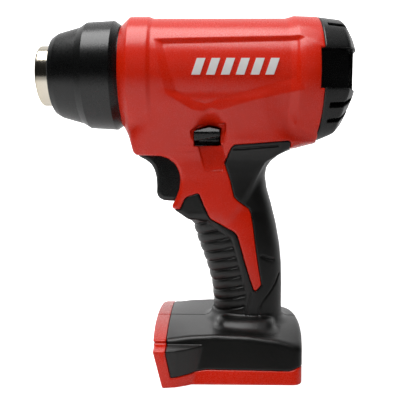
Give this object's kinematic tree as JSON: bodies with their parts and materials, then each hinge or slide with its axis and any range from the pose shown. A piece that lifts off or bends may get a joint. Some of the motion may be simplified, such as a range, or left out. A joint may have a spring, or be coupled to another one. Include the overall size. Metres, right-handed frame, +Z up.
{
  "type": "cordless heat gun",
  "caption": "Pistol-grip cordless heat gun body with a steel nozzle, rubber-covered handle, trigger, side lock button, rear air intake cap and a flared foot for a slide-in battery.",
  "frame": {"origin": "on the barrel axis, at the front end of the nozzle's straight cylindrical seat, 3 mm behind the rolled nozzle tip", "axes": "-X the way the hot air leaves, +X towards the rear intake cap, +Z up from the battery foot to the barrel, -Y the tool's left side"},
  "size_m": [0.163, 0.091, 0.1854],
  "materials": {
    "red_shell": "satin moulded nylon",
    "black_grip": "soft matt overmould",
    "black_plastic": "fine texture",
    "nozzle_steel": "polished",
    "steel": "plain",
    "mica": "sheet mica",
    "ceramic": "unglazed",
    "heating_wire": "oxidised",
    "clear_lens": "clear",
    "circuit": "solder mask",
    "aluminium": "extruded",
    "copper": "plain",
    "ferrite": "sintered",
    "lead_sleeve": "silicone",
    "white_print": "printed",
    "capacitor_sleeve": "film",
    "shell_screw": "blackened"
  },
  "bodies": {
    "body": {"housing_left": "red_shell", "housing_right": "red_shell", "overmould_left": "black_grip", "overmould_right": "black_grip", "nozzle_tube": "nozzle_steel", "nozzle_shroud": "black_plastic", "insulator_ring": "mica", "heater_sleeve": "mica", "outlet_grille": "ceramic", "heater_former": "mica", "heater_coil": "heating_wire", "thermal_cutout": "steel", "fan_duct": "black_plastic", "motor_can": "steel", "motor_endcap": "black_plastic", "motor_magnets": "ferrite", "motor_brushes": "ferrite", "motor_mount": "black_plastic", "rear_cap": "black_plastic", "intake_screen": "steel", "switch_body": "black_plastic", "control_board": "circuit", "heatsink": "aluminium", "power_transistor": "black_plastic", "board_capacitor": "capacitor_sleeve", "trigger_spring": "steel", "led_lens": "clear_lens", "led_board": "circuit", "terminal_block": "black_plastic", "terminal_blades": "copper", "housing_screws": "shell_screw", "battery_leads": "lead_sleeve", "motor_leads": "lead_sleeve", "heater_leads": "lead_sleeve", "side_badge_left": "white_print", "side_badge_right": "white_print"},
    "trigger": {"trigger": "black_plastic", "trigger_plunger": "black_plastic"},
    "lock_shuttle": {"lock_shuttle": "black_plastic"},
    "fan": {"fan_impeller": "black_plastic", "motor_shaft": "steel", "motor_rotor": "steel", "motor_commutator": "copper"}
  },
  "joints": [
    {"name": "trigger_slide", "type": "slide", "parent": "body", "child": "trigger", "axis": [1, 0, 0], "range_m": [0, 0.006], "stiffness_N_per_m": 400, "springref_m": -0.004, "deforming": ["trigger_spring"]},
    {"name": "lock_shuttle_slide", "type": "slide", "parent": "body", "child": "lock_shuttle", "axis": [0, 1, 0], "range_m": [-0.0035, 0.0035]},
    {"name": "fan_spin", "type": "hinge", "parent": "body", "child": "fan", "pos_m": [0.092, 0, 0], "axis": [1, 0, 0], "continuous": true}
  ]
}
